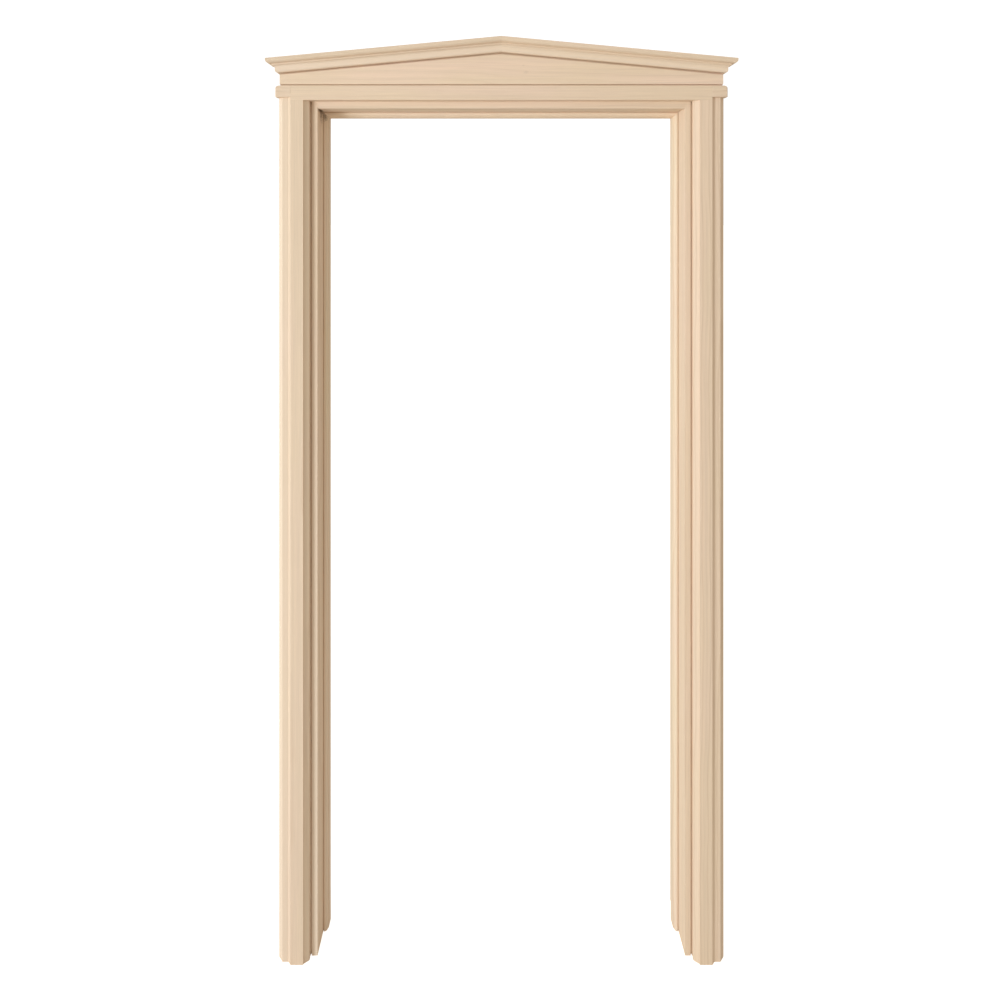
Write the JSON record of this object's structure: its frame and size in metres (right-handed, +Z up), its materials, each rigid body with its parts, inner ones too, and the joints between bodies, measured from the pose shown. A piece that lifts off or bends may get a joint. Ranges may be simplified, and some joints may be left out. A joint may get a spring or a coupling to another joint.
{
  "type": "door frame",
  "caption": "Timber door frame: rebated lining with moulded stops, profiled leg casings and a low gabled crosshead with a raking crown moulding, open at the floor.",
  "frame": {"origin": "on the floor, midway between the legs and midway in the depth from the crown's front to the back edge of the jambs", "axes": "+Z up; +Y into the wall, so the moulded face looks along -Y; +X to the right as seen from the front"},
  "size_m": [1.082, 0.16, 2.153],
  "materials": {
    "lining": "planed and sanded, unfinished softwood",
    "casing": "planed and sanded, unfinished softwood",
    "crosshead": "planed and sanded, unfinished softwood",
    "crown": "moulded and sanded, unfinished softwood",
    "fixings": "bright steel wire",
    "dowels": "fluted hardwood dowel"
  },
  "bodies": {
    "root": {"jamb_left": "lining", "jamb_right": "lining", "jamb_head": "lining", "stop_left": "lining", "stop_right": "lining", "stop_head": "lining", "casing_left": "casing", "casing_right": "casing", "band": "crosshead", "ear_left": "crosshead", "ear_right": "crosshead", "gable_board": "crosshead", "crown_rake_left": "crown", "crown_rake_right": "crown", "crown_return_left": "crown", "crown_return_right": "crown", "casing_nails": "fixings", "corner_screws": "fixings", "gable_dowels": "dowels"}
  },
  "joints": []
}
